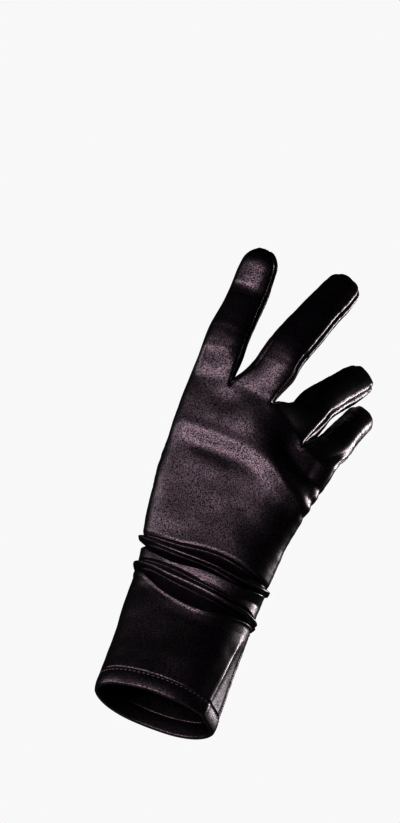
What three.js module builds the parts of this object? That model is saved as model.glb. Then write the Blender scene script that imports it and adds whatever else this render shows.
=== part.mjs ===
// A wrist-length dress glove of stretch satin for the right hand, in the form it has when worn.
// Millimetres. The origin is the middle of the wrist opening, +Z runs up the cuff to the fingers,
// the back of the hand faces -Y, the index finger is on the -X side.
import * as THREE from "three";

// Driving sizes
const wall = 1.0; // cloth
const seamGap = 0.3; // between two pieces that are sewn together
const hemHeight = 8;
const hemWall = 2.2; // the cloth turned back on itself
const cuffLength = 70; // from the edge of the hem to the bend of the wrist
const cuffBreadth = 60;
const cuffDepth = 44;
const palmLength = 88; // from the bend of the wrist to the crotch beside the index finger
const palmBreadth = 77;
const palmDepth = 28;
const wristBend = 18; // degrees that the hand is bent back
const wristReach = 26; // length of cloth that takes the bend
const ridgeAt = 0.745; // place of the knuckle ridge, as a share of palmLength beside the index finger
const knuckleRise = 1.8;
const knuckleSpan = 5.2; // half length of the slope up to the knuckles
const knuckleFall = { index: -0.8, little: 5.5 }; // from the ridge down to the roots of the fingers
const knuckleFallReach = 14; // length of cloth that the fall takes
const knuckleFallTurn = { from: -8, over: 30 }; // degrees round the back where the fall deepens
const webDip = { depth: 0.9, at: 14, turn: 13 }; // beyond the ridge, below the first crotch
const fingerRoundness = 0.8; // of an oval finger, as in the tables
const fingerBlend = 17; // length in which a finger turns from its root's shape to an oval
const thumbBlend = 24;

// Cloth columns round the hand and rows along it
const acrossFinger = 4;
const acrossSide = 4;
const palmRows = 13;
const fingerRows = 8;
const thumbRows = 8;

// Cross-sections of the cuff. Places are shares of cuffLength, half breadths of cuffBreadth,
// half depths of cuffDepth. Roundness 1 is an ellipse, less is boxier.
const cuffSections = [
  { at: 0.0, indexSide: 0.492, littleSide: 0.478, back: 0.5, palm: 0.5, roundness: 1 },
  { at: 0.25, indexSide: 0.497, littleSide: 0.477, back: 0.5, palm: 0.5, roundness: 1 },
  { at: 0.5, indexSide: 0.503, littleSide: 0.472, back: 0.495, palm: 0.49, roundness: 0.98 },
  { at: 0.75, indexSide: 0.52, littleSide: 0.47, back: 0.48, palm: 0.47, roundness: 0.96 },
  { at: 1.0, indexSide: 0.535, littleSide: 0.472, back: 0.46, palm: 0.44, roundness: 0.94 },
];

// Cross-sections of the hand. Places are shares of palmLength beyond the wrist, half breadths of
// palmBreadth, half depths of palmDepth.
const palmSections = [
  { at: 0.14, indexSide: 0.452, littleSide: 0.378, back: 0.64, palm: 0.66, roundness: 0.9 },
  { at: 0.3, indexSide: 0.485, littleSide: 0.39, back: 0.57, palm: 0.7, roundness: 0.87 },
  { at: 0.47, indexSide: 0.506, littleSide: 0.422, back: 0.53, palm: 0.69, roundness: 0.85 },
  { at: 0.64, indexSide: 0.515, littleSide: 0.468, back: 0.51, palm: 0.6, roundness: 0.84 },
  { at: 0.8, indexSide: 0.52, littleSide: 0.503, back: 0.45, palm: 0.5, roundness: 0.84 },
  { at: 1.0, indexSide: 0.518, littleSide: 0.54, back: 0.38, palm: 0.42, roundness: 0.86 },
];

// The two tucks pushed up over the back of the cuff. The crest's places are shares of cuffLength
// at five places round the hand. Crest, under and over are the height of the crest and the depths
// of the valleys below and above it, in millimetres.
const tucks = [
  {
    name: "lower", indexSide: 0.92, indexBack: 0.833, back: 0.797, littleBack: 0.784,
    littleSide: 0.8, crest: 2.7, under: 2.8, over: 1.4,
  },
  {
    name: "upper", indexSide: 1.1, indexBack: 1.068, back: 1.058, littleBack: 1.026,
    littleSide: 1.05, crest: 2.7, under: 3.2, over: 2.2,
  },
];
const tuckHalfWidth = 1.7; // of the pinched crest
const tuckUnderAt = 5; // from the crest down to the bottom of the valley below it
const tuckUnderWidth = 2.8;
const tuckOverAt = 3.4; // from the crest up to the bottom of the valley above it
const tuckOverWidth = 2;
const tuckSideShare = 0.3; // of a valley's depth that is left at the sides of the hand
const tuckFadeFrom = 95; // degrees round from the middle of the back
const tuckFadeOver = 45;
const tuckRows = [-8.2, -5.4, -3, -1.5, 0, 1.5, 3, 5.4]; // rows of cloth beside each crest
const plainCuffRows = [0.29, 0.41, 0.53, 0.62]; // shares of cuffLength

// Cuts between the fingers, in degrees round from the middle of the back, with the place of each
// crotch as a share of palmLength beyond the wrist.
const cuts = [
  { name: "indexOuter", turn: -60, crotch: 0.995 },
  { name: "indexMiddle", turn: -27, crotch: 1.0 },
  { name: "middleRing", turn: 0, crotch: 0.98 },
  { name: "ringLittle", turn: 31, crotch: 0.845 },
  { name: "littleOuter", turn: 60, crotch: 0.79 },
];

// Fingers from the knuckle. The knuckle's place is a share of palmLength beyond the wrist, across
// is a share of palmBreadth and rise, towards the back, one of the finger's depth. Bones, breadth
// and depth are in millimetres. Splay turns each bone towards the little finger and curl turns it
// towards the palm, in degrees from the hand's own line.
const fingers = [
  {
    name: "index", knuckle: 0.716, across: -0.378, rise: 0.1, breadth: 19, depth: 16,
    bones: [
      { length: 44.5, splay: -1.5, curl: -5 },
      { length: 25.5, splay: 5, curl: 15 },
      { length: 22.5, splay: -1, curl: -5 },
    ],
  },
  {
    name: "middle", knuckle: 0.716, across: -0.132, rise: 0.12, breadth: 19.2, depth: 16.5,
    bones: [
      { length: 48, splay: 8.5, curl: -5 },
      { length: 29.5, splay: 19, curl: 23 },
      { length: 27, splay: 21, curl: 30 },
    ],
  },
  {
    name: "ring", knuckle: 0.66, across: 0.12, rise: 0, breadth: 17.4, depth: 15.5,
    bones: [
      { length: 46, splay: 15, curl: 27 },
      { length: 27, splay: 33, curl: 48 },
      { length: 23.5, splay: 33, curl: 54 },
    ],
  },
  {
    name: "little", knuckle: 0.58, across: 0.362, rise: 0, breadth: 15.2, depth: 14,
    bones: [
      { length: 36, splay: 12, curl: 28 },
      { length: 20, splay: 19, curl: 49 },
      { length: 19, splay: 22, curl: 52 },
    ],
  },
];
const jointReach = 12; // length of cloth that takes a finger joint's bend

// Girth along a finger from its root to the start of its rounded tip, as shares of breadth and depth
const fingerGirths = [
  { at: 0.0, breadth: 1.1, depth: 1.08 },
  { at: 0.35, breadth: 1.06, depth: 1.03 },
  { at: 0.6, breadth: 1.0, depth: 1.0 },
  { at: 0.85, breadth: 0.96, depth: 0.92 },
  { at: 1.0, breadth: 0.9, depth: 0.84 },
];
const tipReach = 9; // length of the rounded fingertip
const tipRings = [0.5, 0.8, 0.94]; // places of its rings, as shares of its length
const sideTurn = { root: 40, tip: 33 }; // half the turn round a finger that its side strip takes

// The set-in thumb. Its bones start in the middle of the hole.
const thumb = {
  breadth: 20.5, depth: 19,
  bones: [
    { length: 24, splay: -4, curl: 66 },
    { length: 30, splay: 6, curl: 47 },
    { length: 24, splay: 12, curl: 30 },
  ],
};
const thumbHole = { firstColumn: 30, columns: 8, firstRow: 2, rows: 6, spread: 0.9 };

const toRadians = THREE.MathUtils.degToRad;
const mix = THREE.MathUtils.lerp;
const ease = (value) => THREE.MathUtils.smoothstep(value, 0, 1);

// A smooth value of one column of a table at a place between its rows.
function tableValue(rows, column, at) {
  const last = rows.length - 1;
  if (at <= rows[0].at) return rows[0][column];
  if (at >= rows[last].at) return rows[last][column];
  const i = rows.findIndex((row) => row.at > at) - 1;
  const low = rows[i];
  const high = rows[i + 1];
  const span = high.at - low.at;
  const before = rows[Math.max(i - 1, 0)];
  const after = rows[Math.min(i + 2, last)];
  const slopeLow = (high[column] - before[column]) / (high.at - before.at);
  const slopeHigh = (after[column] - low[column]) / (after.at - low.at);
  const t = (at - low.at) / span;
  const t2 = t * t;
  const t3 = t2 * t;
  return (
    (2 * t3 - 3 * t2 + 1) * low[column] +
    (t3 - 2 * t2 + t) * span * slopeLow +
    (3 * t2 - 2 * t3) * high[column] +
    (t3 - t2) * span * slopeHigh
  );
}

// A line that bends smoothly at the given places. Each bend has its place along the line, the
// length over which it turns, and how much it adds to the splay and the curl, in degrees.
// The hand's own line, the direction across it and the way out of its back are start.forward,
// start.side and start.back. The result gives centre, forward, side and back at a length.
function bentLine(start, bends, length) {
  const steps = Math.ceil(length);
  const step = length / steps;
  const heading = (at) => {
    let splay = 0;
    let curl = 0;
    for (const bend of bends) {
      const share = bend.over > 0 ? ease((at - bend.at) / bend.over + 0.5) : 1;
      splay += bend.splay * share;
      curl += bend.curl * share;
    }
    return { splay: toRadians(splay), curl: toRadians(curl) };
  };
  const inHand = (along, across, out) =>
    new THREE.Vector3()
      .addScaledVector(start.forward, along)
      .addScaledVector(start.side, across)
      .addScaledVector(start.back, out);
  const forwardAt = ({ splay, curl }) =>
    inHand(Math.cos(curl) * Math.cos(splay), Math.cos(curl) * Math.sin(splay), -Math.sin(curl));
  const centres = [start.centre.clone()];
  for (let i = 0; i < steps; i += 1) {
    const forward = forwardAt(heading((i + 0.5) * step));
    centres.push(centres[i].clone().addScaledVector(forward, step));
  }
  return (at) => {
    const place = THREE.MathUtils.clamp(at / step, 0, steps);
    const i = Math.min(Math.floor(place), steps - 1);
    const turn = heading(at);
    const { splay, curl } = turn;
    return {
      centre: centres[i].clone().lerp(centres[i + 1], place - i),
      forward: forwardAt(turn),
      side: inHand(-Math.sin(splay), Math.cos(splay), 0),
      back: inHand(Math.sin(curl) * Math.cos(splay), Math.sin(curl) * Math.sin(splay), Math.cos(curl)),
    };
  };
}

// A point of an oval ring, turned round from the middle of the back towards the little finger.
function ovalPoint(frame, turn, half) {
  const s = Math.sin(toRadians(turn));
  const c = Math.cos(toRadians(turn));
  const across = Math.sign(s) * Math.abs(s) ** half.roundness;
  const out = Math.sign(c) * Math.abs(c) ** half.roundness;
  return frame.centre
    .clone()
    .addScaledVector(frame.side, across > 0 ? across * half.littleSide : across * half.indexSide)
    .addScaledVector(frame.back, out > 0 ? out * half.back : out * half.palm);
}

// The line of the forearm and hand
const handLine = bentLine(
  {
    centre: new THREE.Vector3(),
    forward: new THREE.Vector3(0, 0, 1),
    side: new THREE.Vector3(1, 0, 0),
    back: new THREE.Vector3(0, -1, 0),
  },
  [{ at: cuffLength, over: wristReach, splay: 0, curl: -wristBend }],
  cuffLength + palmLength * 1.1,
);
const palmAt = (share) => cuffLength + share * palmLength;

const sections = [
  ...cuffSections.map((row) => ({
    ...row,
    at: row.at * cuffLength,
    indexSide: row.indexSide * cuffBreadth,
    littleSide: row.littleSide * cuffBreadth,
    back: row.back * cuffDepth,
    palm: row.palm * cuffDepth,
  })),
  ...palmSections.map((row) => ({
    ...row,
    at: palmAt(row.at),
    indexSide: row.indexSide * palmBreadth,
    littleSide: row.littleSide * palmBreadth,
    back: row.back * palmDepth,
    palm: row.palm * palmDepth,
  })),
];

// A value that a table gives at five places round the back, from -90 to 90 degrees, carried on
// round the palm.
function roundTheBack(row, turn) {
  const across = Math.sin(toRadians(turn));
  const stops = ["indexSide", "indexBack", "back", "littleBack", "littleSide"].map((name, i) => ({
    at: i / 2 - 1,
    value: row[name],
  }));
  return tableValue(stops, "value", across);
}

// A turn round the hand as -180 to 180 degrees from the middle of the back.
const signedTurn = (turn) => THREE.MathUtils.euclideanModulo(turn + 180, 360) - 180;

// How far the tucks push the cloth out.
function tuckRelief(turn, along) {
  const fade = 1 - ease((Math.abs(signedTurn(turn)) - tuckFadeFrom) / tuckFadeOver);
  const deep = mix(tuckSideShare, 1, ease(1.5 * Math.cos(toRadians(turn))));
  let relief = 0;
  for (const tuck of tucks) {
    const from = along - roundTheBack(tuck, turn) * cuffLength;
    const crest = tuck.crest * Math.exp(-((from / tuckHalfWidth) ** 2));
    const under = tuck.under * Math.exp(-(((from + tuckUnderAt) / tuckUnderWidth) ** 2));
    const over = tuck.over * Math.exp(-(((from - tuckOverAt) / tuckOverWidth) ** 2));
    relief += (crest - deep * (under + over)) * fade;
  }
  return relief;
}

// The row of crotches, as a length along the hand at each turn round it.
const crotchStops = cuts.map((cut) => ({ at: Math.sin(toRadians(cut.turn)), value: cut.crotch }));
const crotchAt = (turn) => palmAt(tableValue(crotchStops, "value", Math.sin(toRadians(turn))));

// How far the knuckles push out the cloth on the back of the hand. Beyond the ridge the cloth
// falls to the curled fingers and dips a little below the first crotch.
function knuckleRelief(turn, along) {
  const out = Math.cos(toRadians(turn));
  if (out <= 0) return 0;
  const from = along - (crotchAt(turn) - (1 - ridgeAt) * palmLength);
  const deepens = ease((signedTurn(turn) - knuckleFallTurn.from) / knuckleFallTurn.over);
  const fall = mix(knuckleFall.index, knuckleFall.little, deepens) * ease(from / knuckleFallReach);
  const ridge = knuckleRise * Math.exp(-((Math.min(from, 0) / knuckleSpan) ** 2));
  const dipAcross = Math.exp(-(((signedTurn(turn) - cuts[1].turn) / webDip.turn) ** 2));
  const dip = webDip.depth * dipAcross * Math.exp(-(((from - webDip.at) / knuckleSpan) ** 2));
  return Math.min(1, 1.6 * out) * (ridge - fall - dip);
}

// A point of the cloth round the cuff and hand.
function handPoint(turn, along) {
  const frame = handLine(along);
  const half = {};
  for (const name of ["indexSide", "littleSide", "back", "palm", "roundness"]) {
    half[name] = tableValue(sections, name, along);
  }
  const relief = tuckRelief(turn, along) + knuckleRelief(turn, along);
  half.indexSide += relief;
  half.littleSide += relief;
  half.back += relief;
  half.palm += relief;
  return ovalPoint(frame, turn, half);
}

// The whole outer face of the glove is one net of four-cornered patches, each in one cut piece.
const net = { points: [], patches: [], seams: new Set() };
const seamKey = (a, b) => (a < b ? `${a}-${b}` : `${b}-${a}`);
const markSeam = (a, b) => net.seams.add(seamKey(a, b));
function addPoint(point) {
  return net.points.push(point) - 1;
}
function addPatch(piece, ...corners) {
  net.patches.push({ piece, corners });
}

// Turns of the columns round the hand: back, little finger's side, palm, index finger's side.
const evenly = (from, to, count) => Array.from({ length: count }, (_, i) => mix(from, to, i / count));
const backTurns = fingers.flatMap((_, i) => evenly(cuts[i].turn, cuts[i + 1].turn, acrossFinger));
const outerTurn = cuts[fingers.length].turn;
const firstTurn = cuts[0].turn;
const palmTurns = fingers.flatMap((_, i) => {
  const k = fingers.length - i;
  return evenly(180 - cuts[k].turn, 180 - cuts[k - 1].turn, acrossFinger);
});
const handTurns = [
  ...backTurns,
  ...evenly(outerTurn, 180 - outerTurn, acrossSide),
  ...palmTurns,
  ...evenly(180 - firstTurn, 360 + firstTurn, acrossSide),
];
const handColumns = handTurns.length;
const littleSeamColumn = backTurns.length + acrossSide / 2;

// Rows of cloth from the hem to the crotches. Between the tucks the rows lie along the crests.
function tuckSlant(turn, along) {
  const stops = [
    { at: hemHeight, value: 0 },
    ...tucks.map((tuck) => ({
      at: tuck.back * cuffLength,
      value: (roundTheBack(tuck, turn) - tuck.back) * cuffLength,
    })),
    { at: palmAt(0.2), value: 0 },
  ];
  const i = Math.max(1, stops.findIndex((stop) => stop.at >= along));
  const low = stops[i - 1];
  const high = stops[i];
  return mix(low.value, high.value, (along - low.at) / (high.at - low.at));
}
const cuffRows = [
  hemHeight,
  ...plainCuffRows.map((share) => share * cuffLength),
  ...tucks.flatMap((tuck) => tuckRows.map((offset) => tuck.back * cuffLength + offset)),
];
const palmStart = palmAt(0.2);
const rowPlace = (row, turn) => {
  if (row < cuffRows.length) return cuffRows[row] + tuckSlant(turn, cuffRows[row]);
  return mix(palmStart, crotchAt(turn), (row - cuffRows.length) / palmRows);
};
const handRows = cuffRows.length + palmRows + 1;

// The hole for the thumb is a block of the net whose edge is drawn in to an oval.
const holeRow = cuffRows.length + thumbHole.firstRow;
function insideHole(row, column) {
  const across = column - thumbHole.firstColumn;
  const up = row - holeRow;
  return { across: (2 * across) / thumbHole.columns - 1, up: (2 * up) / thumbHole.rows - 1 };
}
function netPlace(row, column) {
  const { across, up } = insideHole(row, column);
  const reach = Math.max(Math.abs(across), Math.abs(up), 1e-6);
  const hold = 1 - ease((reach - 1) / thumbHole.spread);
  const edgeAcross = across / reach;
  const edgeUp = up / reach;
  const pull = reach < 1 ? reach : 1;
  const moveAcross = edgeAcross * (Math.sqrt(1 - edgeUp ** 2 / 2) - 1) * hold * pull;
  const moveUp = edgeUp * (Math.sqrt(1 - edgeAcross ** 2 / 2) - 1) * hold * pull;
  const shiftedColumn = column + (moveAcross * thumbHole.columns) / 2;
  const shiftedRow = row + (moveUp * thumbHole.rows) / 2;
  const c = Math.floor(shiftedColumn);
  const turnAt = (k) => handTurns[k % handColumns] + 360 * Math.floor(k / handColumns);
  const turn = mix(turnAt(c), turnAt(c + 1), shiftedColumn - c);
  const r = Math.min(Math.floor(shiftedRow), handRows - 2);
  const along = mix(rowPlace(r, turn), rowPlace(r + 1, turn), shiftedRow - r);
  return { turn, along };
}

const handNet = [];
for (let row = 0; row < handRows; row += 1) {
  handNet.push([]);
  for (let column = 0; column < handColumns; column += 1) {
    const { across, up } = insideHole(row, column);
    const cutAway = Math.abs(across) < 0.999 && Math.abs(up) < 0.999;
    const { turn, along } = netPlace(row, column);
    handNet[row].push(cutAway ? -1 : addPoint(handPoint(turn, along)));
  }
}
for (let row = 0; row + 1 < handRows; row += 1) {
  for (let column = 0; column < handColumns; column += 1) {
    const next = (column + 1) % handColumns;
    const columnInHole = column - thumbHole.firstColumn;
    const rowInHole = row - holeRow;
    const inColumns = columnInHole >= 0 && columnInHole < thumbHole.columns;
    const inRows = rowInHole >= 0 && rowInHole < thumbHole.rows;
    if (inColumns && inRows) continue;
    const low = handNet[row];
    const high = handNet[row + 1];
    addPatch("trank", low[column], low[next], high[next], high[column]);
  }
  markSeam(handNet[row][littleSeamColumn], handNet[row + 1][littleSeamColumn]);
}

// Closes a ring of the net by a small domed grid. The ring runs along its back, down one side,
// along its palm and up the other side. A seam may run across the middle of the tip.
function closeTip(ring, across, deep, forward, rise, piece, hasSeam) {
  const at = (i) => ring[THREE.MathUtils.euclideanModulo(i, ring.length)];
  const spot = (i) => net.points[at(i)];
  const grid = [];
  for (let j = 0; j <= deep; j += 1) {
    grid.push([]);
    for (let i = 0; i <= across; i += 1) {
      if (j === 0) grid[j].push(at(i));
      else if (j === deep) grid[j].push(at(2 * across + deep - i));
      else if (i === across) grid[j].push(at(across + j));
      else if (i === 0) grid[j].push(at(-j));
      else {
        const u = i / across;
        const v = j / deep;
        const point = new THREE.Vector3()
          .addScaledVector(spot(i), 1 - v)
          .addScaledVector(spot(2 * across + deep - i), v)
          .addScaledVector(spot(-j), 1 - u)
          .addScaledVector(spot(across + j), u)
          .addScaledVector(spot(0), -(1 - u) * (1 - v))
          .addScaledVector(spot(across), -u * (1 - v))
          .addScaledVector(spot(across + deep), -u * v)
          .addScaledVector(spot(-deep), -(1 - u) * v)
          .addScaledVector(forward, rise * 16 * u * (1 - u) * v * (1 - v));
        grid[j].push(addPoint(point));
      }
    }
  }
  for (let j = 0; j < deep; j += 1) {
    for (let i = 0; i < across; i += 1) {
      const near = grid[j];
      const far = grid[j + 1];
      addPatch(piece, near[i], near[i + 1], far[i + 1], far[i]);
    }
  }
  if (!hasSeam) return;
  for (let i = 0; i < across; i += 1) {
    markSeam(grid[deep / 2][i], grid[deep / 2][i + 1]);
  }
}

// Carries rings of the net along a bent line from a root ring, then closes them. Rings turn from
// the root's own shape to ovals. pieceOf names the cut piece of the patches beside each column.
function growTube(root, line, spec) {
  const rings = [root];
  const startFrame = line(spec.from);
  const tubeEnd = spec.length - tipReach;
  const places = [
    ...Array.from({ length: spec.rows }, (_, i) => mix(spec.from, tubeEnd, (i + 1) / spec.rows)),
    ...tipRings.map((share) => tubeEnd + share * tipReach),
  ];
  for (const place of places) {
    const frame = line(place);
    const share = Math.min(1, (place - spec.from) / (tubeEnd - spec.from));
    const round = Math.sqrt(1 - Math.max(0, (place - tubeEnd) / tipReach) ** 2);
    const halfBreadth = (tableValue(fingerGirths, "breadth", share) * spec.breadth * round) / 2;
    const halfDepth = (tableValue(fingerGirths, "depth", share) * spec.depth * round) / 2;
    const half = {
      indexSide: halfBreadth,
      littleSide: halfBreadth,
      back: halfDepth,
      palm: halfDepth,
      roundness: fingerRoundness,
    };
    const blend = ease((place - spec.from) / spec.blend);
    const carry = frame.centre.clone().sub(startFrame.centre);
    const turns = spec.turnsAt(share);
    const ring = root.map((id, i) => {
      const carried = net.points[id].clone().add(carry);
      return addPoint(carried.lerp(ovalPoint(frame, turns[i], half), blend));
    });
    const before = rings[rings.length - 1];
    for (let i = 0; i < ring.length; i += 1) {
      const next = (i + 1) % ring.length;
      addPatch(spec.pieceOf(i), before[i], before[next], ring[next], ring[i]);
    }
    if (spec.seamColumn) markSeam(before[spec.seamColumn], ring[spec.seamColumn]);
    rings.push(ring);
  }
  const end = line(spec.length);
  const lastRing = rings[rings.length - 1];
  const rise = tipReach * (1 - tipRings[tipRings.length - 1]);
  closeTip(lastRing, spec.across, spec.deep, end.forward, rise, spec.tipPiece, spec.tipSeam);
}

function boneLine(start, bones) {
  let at = 0;
  let before = { splay: 0, curl: 0 };
  const bends = bones.map((bone, i) => {
    const bend = {
      at,
      over: i === 0 ? 0 : jointReach,
      splay: bone.splay - before.splay,
      curl: bone.curl - before.curl,
    };
    before = bone;
    at += bone.length;
    return bend;
  });
  return { length: at, line: bentLine(start, bends, at) };
}

// The crotch between two fingers: points from the back to the palm.
const topRow = handNet[handRows - 1];
const backColumn = (cut) => cut * acrossFinger;
const palmColumn = (cut) => backTurns.length + acrossSide + (fingers.length - cut) * acrossFinger;
const fromTopRow = (column, count) => topRow.slice(column, column + count);
const crotches = cuts.map((_, cut) => {
  if (cut === 0 || cut === fingers.length) return null;
  const back = topRow[backColumn(cut)];
  const palm = topRow[palmColumn(cut)];
  const between = [];
  for (let i = 1; i < acrossSide; i += 1) {
    between.push(addPoint(net.points[back].clone().lerp(net.points[palm], i / acrossSide)));
  }
  return [back, ...between, palm];
});
const fourchettes = ["index_middle", "middle_ring", "ring_little"].map((name) => `fourchette_${name}`);

fingers.forEach((finger, n) => {
  const last = n === fingers.length - 1;
  const littleSide = last
    ? fromTopRow(backColumn(n + 1), acrossSide)
    : crotches[n + 1].slice(0, acrossSide);
  const indexSide = n === 0
    ? fromTopRow(palmColumn(0), acrossSide)
    : [...crotches[n]].reverse().slice(0, acrossSide);
  const root = [
    ...fromTopRow(backColumn(n), acrossFinger),
    ...littleSide,
    ...fromTopRow(palmColumn(n + 1), acrossFinger),
    ...indexSide,
  ];
  const knuckleFrame = handLine(palmAt(finger.knuckle));
  const start = {
    ...knuckleFrame,
    centre: knuckleFrame.centre
      .clone()
      .addScaledVector(knuckleFrame.side, finger.across * palmBreadth)
      .addScaledVector(knuckleFrame.back, finger.rise * finger.depth),
  };
  const { length, line } = boneLine(start, finger.bones);
  const crotchTurn = (cuts[n].turn + cuts[n + 1].turn) / 2;
  const from = crotchAt(crotchTurn) - palmAt(finger.knuckle);
  const columnCount = acrossFinger + acrossSide;
  growTube(root, line, {
    from,
    length,
    rows: fingerRows,
    breadth: finger.breadth,
    depth: finger.depth,
    blend: fingerBlend,
    across: acrossFinger,
    deep: acrossSide,
    turnsAt: (share) => {
      const half = mix(sideTurn.root, sideTurn.tip, share);
      return [
        ...evenly(half - 90, 90 - half, acrossFinger),
        ...evenly(90 - half, 90 + half, acrossSide),
        ...evenly(90 + half, 270 - half, acrossFinger),
        ...evenly(270 - half, 270 + half, acrossSide),
      ];
    },
    pieceOf: (i) => {
      const onSide = i % columnCount >= acrossFinger;
      if (!onSide) return "trank";
      if (i < columnCount) return last ? "trank" : fourchettes[n];
      return n === 0 ? "trank" : fourchettes[n - 1];
    },
    seamColumn: last ? acrossFinger + acrossSide / 2 : null,
    tipPiece: "trank",
    tipSeam: true,
  });
});

// The thumb grows from the edge of its hole.
const holeTop = holeRow + thumbHole.rows;
const holeStart = thumbHole.firstColumn;
const holeEnd = holeStart + thumbHole.columns;
const countUp = (count) => Array.from({ length: count }, (_, k) => k);
const holeEdge = [
  ...countUp(thumbHole.columns).map((k) => handNet[holeTop][holeEnd - k]),
  ...countUp(thumbHole.rows).map((k) => handNet[holeTop - k][holeStart]),
  ...countUp(thumbHole.columns).map((k) => handNet[holeRow][holeStart + k]),
  ...countUp(thumbHole.rows).map((k) => handNet[holeRow + k][holeEnd]),
];
const holeCentre = new THREE.Vector3();
for (const id of holeEdge) holeCentre.addScaledVector(net.points[id], 1 / holeEdge.length);
const holeFrame = handLine(palmAt(0.45));
const thumbBones = boneLine({ ...holeFrame, centre: holeCentre }, thumb.bones);
const thumbRoot = thumbBones.line(0);
const edgeTurns = holeEdge.map((id) => {
  const from = net.points[id].clone().sub(holeCentre);
  const turn = Math.atan2(from.dot(thumbRoot.side), from.dot(thumbRoot.back));
  return THREE.MathUtils.radToDeg(turn);
});
for (let i = 1; i < edgeTurns.length; i += 1) {
  while (edgeTurns[i] < edgeTurns[i - 1] - 180) edgeTurns[i] += 360;
  while (edgeTurns[i] > edgeTurns[i - 1] + 180) edgeTurns[i] -= 360;
}
growTube(holeEdge, thumbBones.line, {
  from: 0,
  length: thumbBones.length,
  rows: thumbRows,
  breadth: thumb.breadth,
  depth: thumb.depth,
  blend: thumbBlend,
  across: thumbHole.columns,
  deep: thumbHole.rows,
  turnsAt: () => edgeTurns,
  pieceOf: () => "thumb",
  seamColumn: null,
  tipPiece: "thumb",
  tipSeam: false,
});

// Outward direction of the net at each point.
const netNormals = net.points.map(() => new THREE.Vector3());
for (const { corners } of net.patches) {
  const [a, b, c, d] = corners.map((id) => net.points[id]);
  const normal = c.clone().sub(a).cross(d.clone().sub(b));
  for (const id of corners) netNormals[id].add(normal);
}
netNormals.forEach((normal) => normal.normalize());

function geometryFrom(positions, index) {
  const geometry = new THREE.BufferGeometry();
  geometry.setAttribute("position", new THREE.Float32BufferAttribute(positions, 3));
  geometry.setIndex(index);
  geometry.computeVertexNormals();
  return geometry;
}

// The direction in which a corner of a cut piece draws back from its one or two cut edges.
function drawIn(cutEdges) {
  const direction = new THREE.Vector3();
  for (const { inward } of cutEdges) direction.add(inward);
  if (cutEdges.length === 2) {
    const [one, two] = cutEdges;
    const turnsIn = one.inward.dot(two.away) > 0 ? 1 : -1;
    direction.addScaledVector(one.away, turnsIn).addScaledVector(two.away, turnsIn);
  }
  return direction.normalize();
}

// One cut piece as a closed body: its outer face, the same face sunk by the wall, and a rim
// between them. Its edges are drawn in by half the gap that sewn pieces keep.
function clothGeometry(piece) {
  const patches = net.patches.filter((patch) => patch.piece === piece);
  const edges = new Map();
  patches.forEach(({ corners }, p) => {
    corners.forEach((a, i) => {
      const b = corners[(i + 1) % 4];
      const key = seamKey(a, b);
      if (!edges.has(key)) edges.set(key, []);
      edges.get(key).push({ p, i, a, b });
    });
  });
  const isOpen = (key) => edges.get(key).length < 2 || net.seams.has(key);

  // Corners that meet at one point are one vertex where an uncut edge joins their patches.
  const owner = patches.map((_, p) => [0, 1, 2, 3].map((i) => 4 * p + i));
  const parent = owner.flat();
  const find = (k) => {
    let top = k;
    while (parent[top] !== top) top = parent[top];
    return top;
  };
  for (const [key, users] of edges) {
    if (isOpen(key)) continue;
    const [one, two] = users;
    parent[find(4 * one.p + one.i)] = find(4 * two.p + ((two.i + 1) % 4));
    parent[find(4 * one.p + ((one.i + 1) % 4))] = find(4 * two.p + two.i);
  }
  const vertexOf = new Map();
  const vertices = [];
  const cornerVertex = (p, i) => {
    const root = find(4 * p + i);
    if (!vertexOf.has(root)) {
      vertexOf.set(root, vertices.length);
      vertices.push({ id: patches[p].corners[i], edges: [] });
    }
    return vertexOf.get(root);
  };
  const faces = patches.map((_, p) => [0, 1, 2, 3].map((i) => cornerVertex(p, i)));

  const rims = [];
  for (const [key, users] of edges) {
    if (!isOpen(key)) continue;
    for (const { p, i } of users) {
      const low = faces[p][i];
      const high = faces[p][(i + 1) % 4];
      rims.push([low, high]);
      const a = net.points[vertices[low].id];
      const b = net.points[vertices[high].id];
      const middle = patches[p].corners.reduce(
        (sum, id) => sum.addScaledVector(net.points[id], 0.25),
        new THREE.Vector3(),
      );
      const along = b.clone().sub(a).normalize();
      const inward = middle.sub(a);
      inward.addScaledVector(along, -inward.dot(along)).normalize();
      vertices[low].edges.push({ inward, away: along });
      vertices[high].edges.push({ inward, away: along.clone().negate() });
    }
  }

  const outer = [];
  const inner = [];
  for (const { id, edges: cutEdges } of vertices) {
    const point = net.points[id].clone().addScaledVector(drawIn(cutEdges), seamGap / 2);
    outer.push(point);
    inner.push(point.clone().addScaledVector(netNormals[id], -wall));
  }
  const count = outer.length;
  const index = [];
  for (const [a, b, c, d] of faces) {
    const first = outer[a].distanceTo(outer[c]) < outer[b].distanceTo(outer[d]);
    const halves = first ? [[a, b, c], [a, c, d]] : [[a, b, d], [b, c, d]];
    for (const [i, j, k] of halves) {
      index.push(i, j, k);
      index.push(k + count, j + count, i + count);
    }
  }
  for (const [a, b] of rims) {
    // Both sides of a seam split their rims along the same diagonal, so that they stay parallel.
    if (vertices[a].id < vertices[b].id) {
      index.push(b, a, b + count);
      index.push(a, a + count, b + count);
    } else {
      index.push(b, a, a + count);
      index.push(b, a + count, b + count);
    }
  }
  return geometryFrom([...outer, ...inner].flatMap((point) => point.toArray()), index);
}

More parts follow.
